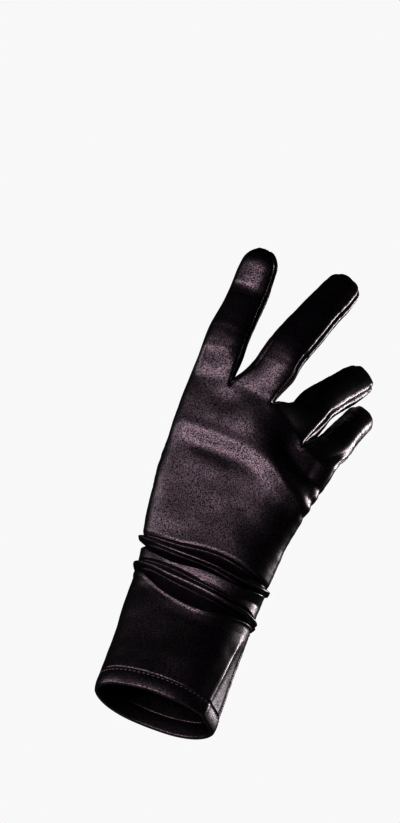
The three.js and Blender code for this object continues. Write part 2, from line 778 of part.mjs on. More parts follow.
// The hem is a band round the wrist whose section has a rounded lower edge.
function hemGeometry() {
  const top = hemHeight - seamGap / 2;
  const roll = hemWall / 2;
  const section = [
    { out: 0, up: top },
    { out: -hemWall, up: top },
    { out: -hemWall, up: roll },
    { out: -hemWall + 0.3 * roll, up: 0.3 * roll },
    { out: -roll, up: 0 },
    { out: -0.3 * roll, up: 0.3 * roll },
    { out: 0, up: roll },
    { out: 0, up: top / 2 },
  ];
  const positions = [];
  for (const turn of handTurns) {
    for (const { out, up } of section) {
      const face = handPoint(turn, up);
      const aside = handPoint(turn + 1, up).sub(handPoint(turn - 1, up)).normalize();
      const outward = aside.cross(handLine(up).forward);
      positions.push(...face.addScaledVector(outward, out).toArray());
    }
  }
  const index = [];
  const around = section.length;
  for (let column = 0; column < handColumns; column += 1) {
    const next = (column + 1) % handColumns;
    for (let i = 0; i < around; i += 1) {
      const j = (i + 1) % around;
      const [a, b] = [column * around + i, column * around + j];
      const [c, d] = [next * around + j, next * around + i];
      index.push(a, c, b, a, d, c);
    }
  }
  return geometryFrom(positions, index);
}

const satin = new THREE.MeshStandardMaterial({ color: "#2a1d2b", roughness: 0.45, metalness: 0 });
const glove = new THREE.Group();
for (const piece of ["trank", "thumb", ...fourchettes]) {
  const mesh = new THREE.Mesh(clothGeometry(piece), satin.clone());
  mesh.name = piece;
  glove.add(mesh);
}
const hem = new THREE.Mesh(hemGeometry(), satin.clone());
hem.name = "hem";
glove.add(hem);

export default glove;
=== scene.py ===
import math

import bpy
import numpy as np
from mathutils import Matrix, Vector, kdtree, noise


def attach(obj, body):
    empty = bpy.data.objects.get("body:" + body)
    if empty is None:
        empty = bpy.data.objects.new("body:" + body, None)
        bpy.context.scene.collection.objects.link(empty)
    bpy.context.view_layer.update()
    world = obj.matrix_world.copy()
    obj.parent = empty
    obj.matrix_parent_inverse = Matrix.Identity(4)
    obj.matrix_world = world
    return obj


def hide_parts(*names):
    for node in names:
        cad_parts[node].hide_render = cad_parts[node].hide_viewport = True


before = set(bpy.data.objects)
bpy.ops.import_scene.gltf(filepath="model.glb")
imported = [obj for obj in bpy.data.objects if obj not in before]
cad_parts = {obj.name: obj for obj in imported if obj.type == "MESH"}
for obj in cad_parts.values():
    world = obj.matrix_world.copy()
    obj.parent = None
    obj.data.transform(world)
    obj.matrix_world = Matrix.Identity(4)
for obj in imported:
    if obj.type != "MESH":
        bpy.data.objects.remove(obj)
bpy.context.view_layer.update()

mm = 0.001
print("frame loaded, nodes:", ", ".join(sorted(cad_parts)))

# The worn form in millimetres, with the sizes that the solids have. Tables hold shares of the
# named sizes: places along the cuff or palm, half breadths, half depths and how round a section is.
form = {
    "cuffLength": 70.0, "cuffBreadth": 60.0, "cuffDepth": 44.0,
    "palmLength": 88.0, "palmBreadth": 77.0, "palmDepth": 28.0,
    "wristBend": 18.0, "wristReach": 26.0, "lineShare": 1.1, "hemHeight": 8.0, "evenRowsFrom": 0.2,
    "fingerRoundness": 0.8, "fingerBlend": 17.0, "jointReach": 12.0,
    "tipReach": 9.0, "tipTurn": 1.4, "sideTurnRoot": 40.0, "sideTurnTip": 33.0,
    "thumbBlend": 24.0, "thumbLevel": 0.45,
    "cloth": 0.8,        # satin with its seam allowance
    "seamGap": 0.06,     # between two sewn edges, sunk in the groove of the seam
}
sectionNames = ("at", "indexSide", "littleSide", "back", "palm", "roundness")
cuffSections = [
    (0.0, 0.492, 0.478, 0.5, 0.5, 1.0),
    (0.25, 0.497, 0.477, 0.5, 0.5, 1.0),
    (0.5, 0.503, 0.472, 0.495, 0.49, 0.98),
    (0.75, 0.52, 0.47, 0.48, 0.47, 0.96),
    (1.0, 0.535, 0.472, 0.46, 0.44, 0.94),
]
palmSections = [
    (0.14, 0.452, 0.378, 0.64, 0.66, 0.9),
    (0.3, 0.485, 0.39, 0.57, 0.7, 0.87),
    (0.47, 0.506, 0.422, 0.53, 0.69, 0.85),
    (0.64, 0.515, 0.468, 0.51, 0.6, 0.84),
    (0.8, 0.52, 0.503, 0.45, 0.5, 0.84),
    (1.0, 0.518, 0.54, 0.38, 0.42, 0.86),
]
# Cuts between the fingers: degrees round from the middle of the back, and each crotch's place.
cuts = [(-60.0, 0.995), (-27.0, 1.0), (0.0, 0.98), (31.0, 0.845), (60.0, 0.79)]
# Bones are (length, splay, curl) from the knuckle.
fingers = {
    "index": {"knuckle": 0.716, "across": -0.378, "rise": 0.1, "breadth": 19.0, "depth": 16.0,
              "bones": [(44.5, -1.5, -5.0), (25.5, 5.0, 15.0), (22.5, -1.0, -5.0)]},
    "middle": {"knuckle": 0.716, "across": -0.132, "rise": 0.12, "breadth": 19.2, "depth": 16.5,
               "bones": [(48.0, 8.5, -5.0), (29.5, 19.0, 23.0), (27.0, 21.0, 30.0)]},
    "ring": {"knuckle": 0.66, "across": 0.12, "rise": 0.0, "breadth": 17.4, "depth": 15.5,
             "bones": [(46.0, 15.0, 27.0), (27.0, 33.0, 48.0), (23.5, 33.0, 54.0)]},
    "little": {"knuckle": 0.58, "across": 0.362, "rise": 0.0, "breadth": 15.2, "depth": 14.0,
               "bones": [(36.0, 12.0, 28.0), (20.0, 19.0, 49.0), (19.0, 22.0, 52.0)]},
}
thumb = {"breadth": 20.5, "depth": 19.0,
         "bones": [(24.0, -4.0, 66.0), (30.0, 6.0, 47.0), (24.0, 12.0, 30.0)]}
# Girth from a finger's root to its rounded tip: place, share of the breadth, share of the depth.
fingerGirths = [
    (0.0, 1.1, 1.08), (0.35, 1.06, 1.03), (0.6, 1.0, 1.0), (0.85, 0.96, 0.92), (1.0, 0.9, 0.84),
]
# The knuckle ridge, placed as a share of the palm. Below it the cloth slopes up and has a shallow
# hollow. Beyond it the cloth falls to the roots of the fingers, more towards the little finger,
# and dips short of the first crotch. Heights, reaches and places are in mm, turns in degrees.
knuckles = {
    "ridgeAt": 0.745, "rise": 1.8, "slope": 5.2,
    "fallIndex": -0.8, "fallLittle": 5.5, "fallReach": 14.0, "fallFrom": -8.0, "fallOver": 30.0,
    "dip": 0.9, "dipAt": 14.0, "dipTurn": 13.0,
    "hollow": 0.75, "hollowAt": -10.0, "hollowSpan": 3.6, "hollowTurn": 24.0,
    "sideShare": 1.6,    # how soon all this ends towards the sides of the hand
}
# The two tucks at five places across the back, from the index side to the little finger's: crests
# as shares of the cuff, then how far in mm the sunken cloth reaches below and above each crest.
# Each crest is a pinched edge with a face that slopes by faceSlope. lowLip and highLip turn the far
# edges of the sunken cloth up, and swell is the soft rise that leads up to it from below.
tucks = {
    "across": (-1.0, -0.5, 0.0, 0.5, 1.0),
    "lower": {"crestAt": (0.92, 0.833, 0.797, 0.784, 0.8), "underReach": (3.5, 8.8, 10.0, 6.2, 2.2),
              "overReach": (1.8, 4.2, 3.4, 3.4, 1.4), "crest": 2.0, "under": 2.6, "over": 2.0,
              "faceSlope": 0.45, "lowLip": 0.5, "highLip": 0.0, "swell": 0.7},
    "upper": {"crestAt": (1.1, 1.068, 1.058, 1.026, 1.05), "underReach": (4.0, 9.0, 7.2, 5.8, 2.2),
              "overReach": (1.4, 4.2, 7.0, 7.4, 1.8), "crest": 2.0, "under": 3.0, "over": 2.6,
              "faceSlope": 0.3, "lowLip": 0.0, "highLip": 0.3, "swell": 2.1},
    "edge": 1.2, "face": 1.3, "roll": 1.4, "rollShare": 0.4, "full": 4.5, "innerFloor": 0.5,
    "lipAt": 0.4, "lipWidth": 0.9, "swellReach": 6.0, "backShare": 1.5,
    "droop": 0.9, "droopPast": 0.2, "fadeFrom": 95.0, "fadeOver": 45.0,
}
# The cuff lies flat on its outer side, from a soft crease that slants up the front to the side.
facet = {"from": 46.0, "slant": 34.0, "bow": 1.5, "to": 90.0, "flatness": 0.8,
         "crease": 0.5, "creaseTurn": 6.0, "upTo": 0.72, "fade": 14.0}
# Short folds where the side seam gathers below the little finger: place, slant for ten degrees of
# turn, and depth, in mm.
puckers = {"folds": [(113.0, 0.5, 0.9), (119.5, 0.8, 1.2), (126.5, 1.1, 1.0)],
           "width": 1.9, "turn": 82.0, "reach": 26.0}
# The net's fineness: patches across a finger's back and across a side strip, rows in the palm,
# and the length of a patch in mm, shorter within crestReach of a tuck's crest. The samples are
# those of a table's curve, of a bent line, and of the count of the cuff's rows.
netSize = {"acrossFinger": 14, "acrossSide": 12, "palmRows": 52, "edgeCrowding": 0.55,
           "rowStep": 1.25, "crestStep": 0.36, "crestReach": 9.5, "crestFade": 4.0, "tipRows": 8,
           "curveSamples": 800, "lineSamples": 600, "rowSamples": 4000}


def ease(value):
    t = np.clip(value, 0.0, 1.0)
    return t * t * (3 - 2 * t)


def mix(low, high, share):
    return low + (high - low) * share


# A smooth curve through a table's rows, sampled finely so that whole arrays are looked up at once.
def tableCurve(places, values):
    places = np.array(places, float)
    values = np.array(values, float)
    last = len(places) - 1
    fine = np.linspace(places[0], places[-1], netSize["curveSamples"])
    i = np.clip(np.searchsorted(places, fine, side="right") - 1, 0, last - 1)
    span = places[i + 1] - places[i]
    before = np.maximum(i - 1, 0)
    after = np.minimum(i + 2, last)
    slopeLow = (values[i + 1] - values[before]) / (places[i + 1] - places[before])
    slopeHigh = (values[after] - values[i]) / (places[after] - places[i])
    t = (fine - places[i]) / span
    samples = (
        (2 * t**3 - 3 * t**2 + 1) * values[i] + (t**3 - 2 * t**2 + t) * span * slopeLow
        + (3 * t**2 - 2 * t**3) * values[i + 1] + (t**3 - t**2) * span * slopeHigh
    )
    return lambda at: np.interp(at, fine, samples)


# A line that bends smoothly: bends are (place, length of the bend, added splay, added curl).
def bentLine(start, bends, length):
    fine = np.linspace(0.0, length, netSize["lineSamples"])

    def heading(at):
        splay = np.zeros_like(at)
        curl = np.zeros_like(at)
        for place, over, addSplay, addCurl in bends:
            share = ease((at - place) / over + 0.5) if over > 0 else 1.0
            splay = splay + addSplay * share
            curl = curl + addCurl * share
        return np.radians(splay), np.radians(curl)

    def inHand(along, across, out):
        parts = zip((along, across, out), ("forward", "side", "back"))
        return sum(np.multiply.outer(value, start[name]) for value, name in parts)

    def forwardAt(at):
        splay, curl = heading(at)
        return inHand(np.cos(curl) * np.cos(splay), np.cos(curl) * np.sin(splay), -np.sin(curl))

    steps = forwardAt((fine[1:] + fine[:-1]) / 2) * (fine[1] - fine[0])
    centres = start["centre"] + np.vstack([np.zeros(3), np.cumsum(steps, axis=0)])

    def at(lengths):
        lengths = np.asarray(lengths, float)
        splay, curl = heading(lengths)
        centre = np.stack([np.interp(lengths, fine, centres[:, k]) for k in range(3)], -1)
        return {
            "centre": centre,
            "forward": forwardAt(lengths),
            "side": inHand(-np.sin(splay), np.cos(splay), np.zeros_like(splay)),
            "back": inHand(np.sin(curl) * np.cos(splay), np.sin(curl) * np.sin(splay), np.cos(curl)),
        }

    return at


def oneSpot(line, place):
    return {name: value[0] for name, value in line(np.array([place])).items()}


def boneLine(start, bones):
    bends = []
    place = 0.0
    splayBefore, curlBefore = 0.0, 0.0
    for i, (length, splay, curl) in enumerate(bones):
        bends.append((place, form["jointReach"] if i else 0.0, splay - splayBefore, curl - curlBefore))
        splayBefore, curlBefore = splay, curl
        place += length
    return bentLine(start, bends, place), place


# Points of oval rings, turned round from the middle of the back towards the little finger.
def ovalPoints(spot, turn, half):
    s = np.sin(np.radians(turn))
    c = np.cos(np.radians(turn))
    across = np.sign(s) * np.abs(s) ** half["roundness"]
    out = np.sign(c) * np.abs(c) ** half["roundness"]
    across = np.where(across > 0, across * half["littleSide"], across * half["indexSide"])
    out = np.where(out > 0, out * half["back"], out * half["palm"])
    return spot["centre"] + across[..., None] * spot["side"] + out[..., None] * spot["back"]


handStart = {
    "centre": np.zeros(3), "forward": np.array([0.0, 0.0, 1.0]),
    "side": np.array([1.0, 0.0, 0.0]), "back": np.array([0.0, -1.0, 0.0]),
}
handLine = bentLine(
    handStart,
    [(form["cuffLength"], form["wristReach"], 0.0, -form["wristBend"])],
    form["cuffLength"] + form["palmLength"] * form["lineShare"],
)


def palmAt(share):
    return form["cuffLength"] + share * form["palmLength"]


def sectionCurves():
    places = [row[0] * form["cuffLength"] for row in cuffSections]
    places += [palmAt(row[0]) for row in palmSections]
    curves = {}
    for k, name in enumerate(sectionNames[1:], 1):
        breadthwise = name in ("indexSide", "littleSide")
        cuffSize = form["cuffBreadth"] if breadthwise else form["cuffDepth"]
        palmSize = form["palmBreadth"] if breadthwise else form["palmDepth"]
        if name == "roundness":
            cuffSize, palmSize = 1.0, 1.0
        values = [row[k] * cuffSize for row in cuffSections]
        values += [row[k] * palmSize for row in palmSections]
        curves[name] = tableCurve(places, values)
    return curves


sections = sectionCurves()
crotchCurve = tableCurve([math.sin(math.radians(turn)) for turn, _ in cuts], [place for _, place in cuts])


def crotchAt(turn):
    return palmAt(crotchCurve(np.sin(np.radians(turn))))


tuckCurves = {
    (name, row): tableCurve(tucks["across"], tucks[name][row])
    for name in ("lower", "upper") for row in ("crestAt", "underReach", "overReach")
}


def crestPlace(name, turn):
    return tuckCurves[name, "crestAt"](np.sin(np.radians(turn))) * form["cuffLength"]


# A turn round the hand as -180 to 180 degrees from the middle of the back.
def signedTurn(turn):
    return (turn + 180) % 360 - 180


def hump(distance, width):
    return np.exp(-((distance / width) ** 2))


# How far the two tucks push the cloth out or let it sink, and how far their crests droop.
def tuckRelief(turn, along):
    fade = 1 - ease((np.abs(signedTurn(turn)) - tucks["fadeFrom"]) / tucks["fadeOver"])
    across = np.sin(np.radians(turn))
    onBack = np.cos(np.radians(turn)) * tucks["backShare"]
    face, edge, roll = tucks["face"], tucks["edge"], tucks["roll"]
    relief = np.zeros(turn.shape)
    sag = np.zeros(turn.shape)
    for name in ("lower", "upper"):
        tuck = tucks[name]
        under, over = (tuckCurves[name, row](across) for row in ("underReach", "overReach"))
        fromCrest = along - crestPlace(name, turn)
        pastFace = fromCrest - face
        belowFold = fromCrest + under
        deepUnder = tuck["under"] * np.minimum(1, under / tucks["full"])
        deepOver = tuck["over"] * np.minimum(1, over / tucks["full"])
        rollUnder, rollOver = (np.minimum(roll, reach * tucks["rollShare"]) for reach in (under, over))
        floorUnder = -deepUnder * np.clip(belowFold / (under - rollUnder), 0, 1)
        opened = np.clip((pastFace - rollOver) / (over - 2 * rollOver), 0, 1)
        floorOver = -deepOver * mix(tucks["innerFloor"], 1.0, opened)
        slope = tuck["crest"] + tuck["faceSlope"] * np.clip(pastFace, -face, 0)
        highLip = -tuck["highLip"] * face * np.clip(1 - (pastFace - over) / face, 0, 1)
        foldUnder = mix(floorUnder, slope, ease((fromCrest + rollUnder) / rollUnder))
        foldOver = mix(highLip, floorOver, ease((over - pastFace) / rollOver))
        fold = mix(foldUnder, foldOver, ease(pastFace / edge))
        lowLip = hump(belowFold + tucks["lipAt"], tucks["lipWidth"])
        swell = np.clip(1 + belowFold / tucks["swellReach"], 0, 1) * (1 - ease(belowFold / edge))
        raised = tuck["lowLip"] * lowLip + tuck["swell"] * swell * ease(onBack)
        relief = relief + (fold + raised) * fade
        crest = hump(fromCrest - face / 2, edge + face / 2)
        sag = sag + tucks["droop"] * crest * fade * ease(onBack + tucks["droopPast"])
    return relief, sag


# The knuckle ridge with the fall and the dip beyond it and the hollow below it.
def knuckleRelief(turn, along):
    past = along - (crotchAt(turn) - (1 - knuckles["ridgeAt"]) * form["palmLength"])
    turned = signedTurn(turn)
    deepens = ease((turned - knuckles["fallFrom"]) / knuckles["fallOver"])
    fall = mix(knuckles["fallIndex"], knuckles["fallLittle"], deepens)
    ridge = knuckles["rise"] * hump(np.minimum(past, 0), knuckles["slope"])
    ridge = ridge - fall * ease(past / knuckles["fallReach"])
    fromCrotch = turned - cuts[1][0]
    dip = knuckles["dip"] * hump(past - knuckles["dipAt"], knuckles["slope"])
    dip = dip * hump(fromCrotch, knuckles["dipTurn"])
    hollow = knuckles["hollow"] * hump(past - knuckles["hollowAt"], knuckles["hollowSpan"])
    hollow = hollow * hump(fromCrotch, knuckles["hollowTurn"])
    onBack = np.maximum(np.cos(np.radians(turn)), 0)
    return (ridge - dip - hollow) * np.minimum(1, knuckles["sideShare"] * onBack)


# How deep the short folds lie that gather the side below the little finger.
def puckerDepth(turn, along):
    turned = signedTurn(turn)
    depth = np.zeros(turn.shape)
    for place, slant, foldDepth in puckers["folds"]:
        fromFold = along - place - slant * (90 - turned) / 10
        depth += foldDepth * hump(fromFold, puckers["width"])
    return depth * hump(turned - puckers["turn"], puckers["reach"])


def handPoints(turn, along):
    turn, along = np.broadcast_arrays(np.asarray(turn, float), np.asarray(along, float))
    half = {name: curve(along) for name, curve in sections.items()}
    relief, sag = tuckRelief(turn, along)
    relief = relief + knuckleRelief(turn, along) - puckerDepth(turn, along)
    for name in ("indexSide", "littleSide", "back", "palm"):
        half[name] = half[name] + relief
    spot = handLine(along - sag)
    points = ovalPoints(spot, turn, half)
    onCuff = ease((form["cuffLength"] * facet["upTo"] - along) / facet["fade"])
    start = facet["from"] + facet["slant"] * (along / form["cuffLength"]) ** facet["bow"]
    share = (turn - start) / (facet["to"] - start)
    ends = [ovalPoints(spot, end, half) for end in (start, np.full_like(turn, facet["to"]))]
    flat = mix(ends[0], ends[1], np.clip(share, 0, 1)[..., None])
    hold = facet["flatness"] * onCuff * (share > 0) * (share < 1)
    crease = facet["crease"] * hump(turn - start, facet["creaseTurn"]) * onCuff
    outward = points - spot["centre"]
    outward /= np.linalg.norm(outward, axis=-1)[..., None]
    return mix(points, flat, hold[..., None]) + outward * crease[..., None]


# Even steps between two values, drawn closer together at both ends, where the seams run.
def crowded(low, high, count):
    t = np.arange(count) / count
    t = mix(t, (1 - np.cos(np.pi * t)) / 2, netSize["edgeCrowding"])
    return mix(low, high, t)


# The net holds the outer face of the whole glove: points, four-cornered patches with the piece
# that each is cut from, seams inside a piece, and where each point lies on the hand or a digit.
net = {"points": [], "turn": [], "along": [], "part": [], "count": 0,
       "patches": [], "pieces": [], "seams": []}
partNames = ["hand", "index", "middle", "ring", "little", "thumb"]
fourchettes = ["fourchette_index_middle", "fourchette_middle_ring", "fourchette_ring_little"]
pieceNames = ["trank", "thumb"] + fourchettes


def addPoints(points, turn, along, part):
    points = np.asarray(points, float)
    shape = points.shape[:-1]
    ids = np.arange(net["count"], net["count"] + int(np.prod(shape))).reshape(shape)
    net["points"].append(points.reshape(-1, 3))
    net["turn"].append(np.broadcast_to(turn, shape).reshape(-1).astype(float))
    net["along"].append(np.broadcast_to(along, shape).reshape(-1).astype(float))
    net["part"].append(np.full(ids.size, partNames.index(part)))
    net["count"] += ids.size
    return ids


def pointsOf(ids):
    return np.vstack(net["points"])[ids]


# Patches between rows of point numbers; pieces names each column's piece, skip leaves patches out.
def addGrid(ids, pieces, closed, skip=None):
    ids = np.asarray(ids)
    nextIds = np.roll(ids, -1, axis=1) if closed else ids[:, 1:]
    lower = ids if closed else ids[:, :-1]
    quads = np.stack([lower[:-1], nextIds[:-1], nextIds[1:], lower[1:]], -1)
    names = np.broadcast_to(np.asarray(pieces), quads.shape[:2])
    keep = np.ones(quads.shape[:2], bool) if skip is None else ~skip
    net["patches"].append(quads[keep])
    net["pieces"].append(names[keep])


cutTurns = [turn for turn, _ in cuts]
cutPairs = list(zip(cutTurns, cutTurns[1:]))
backTurns = np.concatenate([crowded(low, high, netSize["acrossFinger"]) for low, high in cutPairs])
littleTurns = crowded(cutTurns[-1], 180 - cutTurns[-1], netSize["acrossSide"])
palmTurns = np.concatenate([
    crowded(180 - high, 180 - low, netSize["acrossFinger"]) for low, high in reversed(cutPairs)
])
indexTurns = crowded(180 - cutTurns[0], 360 + cutTurns[0], netSize["acrossSide"])
handTurns = np.concatenate([backTurns, littleTurns, palmTurns, indexTurns])
handColumns = len(handTurns)
seamColumn = len(backTurns) + netSize["acrossSide"] // 2
palmStart = palmAt(form["evenRowsFrom"])
crestMiddles = [tucks[name]["crestAt"][2] * form["cuffLength"] for name in ("lower", "upper")]


# Places of the cuff's rows, close together over the crests of the tucks.
def cuffRowPlaces():
    fine = np.linspace(form["hemHeight"], palmStart, netSize["rowSamples"])
    nearest = np.min([np.abs(fine - crest) for crest in crestMiddles], axis=0)
    farOff = ease((nearest - netSize["crestReach"]) / netSize["crestFade"])
    step = mix(netSize["crestStep"], netSize["rowStep"], farOff)
    count = np.concatenate([[0], np.cumsum((fine[1] - fine[0]) / step[1:])])
    total = int(count[-1])
    return np.interp(np.arange(total) * count[-1] / total, count, fine)


cuffRows = cuffRowPlaces()
handRows = len(cuffRows) + netSize["palmRows"] + 1
# The thumb's hole takes the palm's columns from the middle of the middle finger's to the middle of
# the index side, and six of every thirteen rows of the palm.
thumbHole = {
    "firstColumn": len(backTurns) + netSize["acrossSide"] + 5 * netSize["acrossFinger"] // 2,
    "columns": 3 * netSize["acrossFinger"] // 2 + netSize["acrossSide"] // 2,
    "firstRow": len(cuffRows) + 2 * netSize["palmRows"] // 13,
    "rows": 6 * netSize["palmRows"] // 13,
    "spread": 0.9,
}


def rowPlace(row, turn):
    low, high = crestMiddles
    stops = [form["hemHeight"], low, high, palmStart]
    place = cuffRows[np.clip(row, 0, len(cuffRows) - 1)]
    slant = np.interp(place, stops, [0, 1, 0, 0]) * (crestPlace("lower", turn) - low)
    slant = slant + np.interp(place, stops, [0, 0, 1, 0]) * (crestPlace("upper", turn) - high)
    inPalm = mix(palmStart, crotchAt(turn), (row - len(cuffRows)) / netSize["palmRows"])
    return np.where(row < len(cuffRows), place + slant, inPalm)


# Where a row and column of the net lie. Round the thumb the net is drawn in to an oval.
def netPlace(row, column):
    across = 2 * (column - thumbHole["firstColumn"]) / thumbHole["columns"] - 1
    up = 2 * (row - thumbHole["firstRow"]) / thumbHole["rows"] - 1
    reach = np.maximum(np.maximum(np.abs(across), np.abs(up)), 1e-6)
    hold = (1 - ease((reach - 1) / thumbHole["spread"])) * np.minimum(reach, 1)
    edgeAcross, edgeUp = across / reach, up / reach
    moveAcross = edgeAcross * (np.sqrt(1 - edgeUp**2 / 2) - 1) * hold
    moveUp = edgeUp * (np.sqrt(1 - edgeAcross**2 / 2) - 1) * hold
    longTurns = np.concatenate([handTurns, handTurns + 360])
    movedColumn = column + moveAcross * thumbHole["columns"] / 2
    turn = np.interp(movedColumn, np.arange(2 * handColumns), longTurns)
    movedRow = row + moveUp * thumbHole["rows"] / 2
    rowBelow = np.clip(np.floor(movedRow).astype(int), 0, handRows - 2)
    along = mix(rowPlace(rowBelow, turn), rowPlace(rowBelow + 1, turn), movedRow - rowBelow)
    return turn, along


def buildHand():
    row, column = np.meshgrid(np.arange(handRows), np.arange(handColumns), indexing="ij")
    turn, along = netPlace(row, column)
    ids = addPoints(handPoints(turn, along), turn, along, "hand")
    rowInHole = row - thumbHole["firstRow"]
    columnInHole = column - thumbHole["firstColumn"]
    inRows = (rowInHole >= 0) & (rowInHole < thumbHole["rows"])
    inColumns = (columnInHole >= 0) & (columnInHole < thumbHole["columns"])
    addGrid(ids, "trank", True, skip=(inRows & inColumns)[:-1])
    net["seams"].append(np.stack([ids[:-1, seamColumn], ids[1:, seamColumn]], -1))
    return ids


# Closes a ring by a small domed grid. The ring runs along its back, down a side, along its palm
# and up the other side.
def closeTip(ring, across, deep, push, piece, part, seam):
    spots = pointsOf(ring)
    count = len(ring)
    grid = np.zeros((deep + 1, across + 1), int)
    grid[0] = ring[np.arange(across + 1)]
    grid[deep] = ring[2 * across + deep - np.arange(across + 1)]
    grid[:, across] = ring[across + np.arange(deep + 1)]
    grid[:, 0] = ring[(-np.arange(deep + 1)) % count]
    v, u = np.meshgrid(np.arange(1, deep) / deep, np.arange(1, across) / across, indexing="ij")
    i = np.arange(1, across)
    j = np.arange(1, deep)
    u3, v3 = u[..., None], v[..., None]
    corner = [spots[0], spots[across], spots[across + deep], spots[2 * across + deep]]
    inside = (
        (1 - v3) * spots[i][None] + v3 * spots[2 * across + deep - i][None]
        + (1 - u3) * spots[(-j) % count][:, None] + u3 * spots[across + j][:, None]
        - (1 - u3) * (1 - v3) * corner[0] - u3 * (1 - v3) * corner[1]
        - u3 * v3 * corner[2] - (1 - u3) * v3 * corner[3]
        + push * (16 * u * (1 - u) * v * (1 - v))[..., None]
    )
    grid[1:-1, 1:-1] = addPoints(inside, 0, 0, part)
    addGrid(grid, piece, False)
    if seam:
        middle = grid[deep // 2]
        net["seams"].append(np.stack([middle[:-1], middle[1:]], -1))


# Carries a root ring along a bent line as ovals and closes the tip.
def growTube(root, line, spec):
    girthPlaces, breadths, depths = zip(*fingerGirths)
    breadthCurve = tableCurve(girthPlaces, breadths)
    depthCurve = tableCurve(girthPlaces, depths)
    tubeEnd = spec["length"] - form["tipReach"]
    rows = max(8, round((tubeEnd - spec["from"]) / netSize["rowStep"]))
    tipShares = np.sin(np.linspace(0, form["tipTurn"], netSize["tipRows"] + 1))[1:]
    onTube = mix(spec["from"], tubeEnd, np.arange(1, rows + 1) / rows)
    places = np.concatenate([onTube, tubeEnd + tipShares * form["tipReach"]])
    share = np.minimum(1, (places - spec["from"]) / (tubeEnd - spec["from"]))
    roundOff = np.sqrt(1 - np.clip((places - tubeEnd) / form["tipReach"], 0, 1) ** 2)
    halfBreadth = (breadthCurve(share) * spec["breadth"] * roundOff / 2)[:, None]
    halfDepth = (depthCurve(share) * spec["depth"] * roundOff / 2)[:, None]
    half = {"indexSide": halfBreadth, "littleSide": halfBreadth,
            "back": halfDepth, "palm": halfDepth, "roundness": form["fingerRoundness"]}
    spot = {name: value[:, None, :] for name, value in line(places).items()}
    turns = np.stack([spec["turnsAt"](s) for s in share])
    ovals = ovalPoints(spot, turns, half)
    rootPoints = pointsOf(root)
    carried = rootPoints[None] + (spot["centre"] - line(np.array([spec["from"]]))["centre"][:, None])
    blend = ease((places - spec["from"]) / spec["blend"])[:, None, None]
    ids = addPoints(mix(carried, ovals, blend), turns, places[:, None], spec["part"])
    rings = np.vstack([root[None], ids])
    addGrid(rings, spec["pieces"], True)
    if spec["seamColumn"] is not None:
        seam = rings[:, spec["seamColumn"]]
        net["seams"].append(np.stack([seam[:-1], seam[1:]], -1))
    end = line(np.array([spec["length"]]))["forward"][0]
    push = end * form["tipReach"] * (1 - tipShares[-1])
    closeTip(ids[-1], spec["across"], spec["deep"], push, spec["tipPiece"], spec["part"], spec["tipSeam"])


def buildFingers(handIds):
    topRow = handIds[-1]
    across, deep = netSize["acrossFinger"], netSize["acrossSide"]
    topPoints = pointsOf(topRow)
    crotches = [None] * 5
    for cut in (1, 2, 3):
        backColumn = cut * across
        palmColumn = len(backTurns) + deep + (4 - cut) * across
        share = (np.arange(1, deep) / deep)[:, None]
        between = mix(topPoints[backColumn], topPoints[palmColumn], share)
        turns = mix(handTurns[backColumn], handTurns[palmColumn], share[:, 0])
        ids = addPoints(between, turns, crotchAt(handTurns[backColumn]), "hand")
        crotches[cut] = np.concatenate([[topRow[backColumn]], ids, [topRow[palmColumn]]])
    for n, (name, finger) in enumerate(fingers.items()):
        last = n == 3
        palmColumn = len(backTurns) + deep + (3 - n) * across
        littleSide = topRow[len(backTurns):len(backTurns) + deep] if last else crotches[n + 1][:-1]
        indexSide = topRow[-deep:] if n == 0 else crotches[n][::-1][:-1]
        backRow = topRow[n * across:(n + 1) * across]
        palmRow = topRow[palmColumn:palmColumn + across]
        root = np.concatenate([backRow, littleSide, palmRow, indexSide])
        spot = oneSpot(handLine, palmAt(finger["knuckle"]))
        aside = spot["side"] * finger["across"] * form["palmBreadth"]
        raised = spot["back"] * finger["rise"] * finger["depth"]
        start = {**spot, "centre": spot["centre"] + aside + raised}
        line, length = boneLine(start, finger["bones"])

        def turnsAt(share):
            side = mix(form["sideTurnRoot"], form["sideTurnTip"], share)
            return np.concatenate([
                crowded(side - 90, 90 - side, across), crowded(90 - side, 90 + side, deep),
                crowded(90 + side, 270 - side, across), crowded(270 - side, 270 + side, deep),
            ])

        littlePiece = "trank" if last else fourchettes[n]
        indexPiece = "trank" if n == 0 else fourchettes[n - 1]
        growTube(root, line, {
            "from": float(crotchAt((cuts[n][0] + cuts[n + 1][0]) / 2)) - palmAt(finger["knuckle"]),
            "length": length, "breadth": finger["breadth"], "depth": finger["depth"],
            "blend": form["fingerBlend"], "across": across, "deep": deep, "turnsAt": turnsAt,
            "pieces": np.repeat(["trank", littlePiece, "trank", indexPiece], [across, deep, across, deep]),
            "seamColumn": across + deep // 2 if last else None,
            "tipPiece": "trank", "tipSeam": True, "part": name,
        })


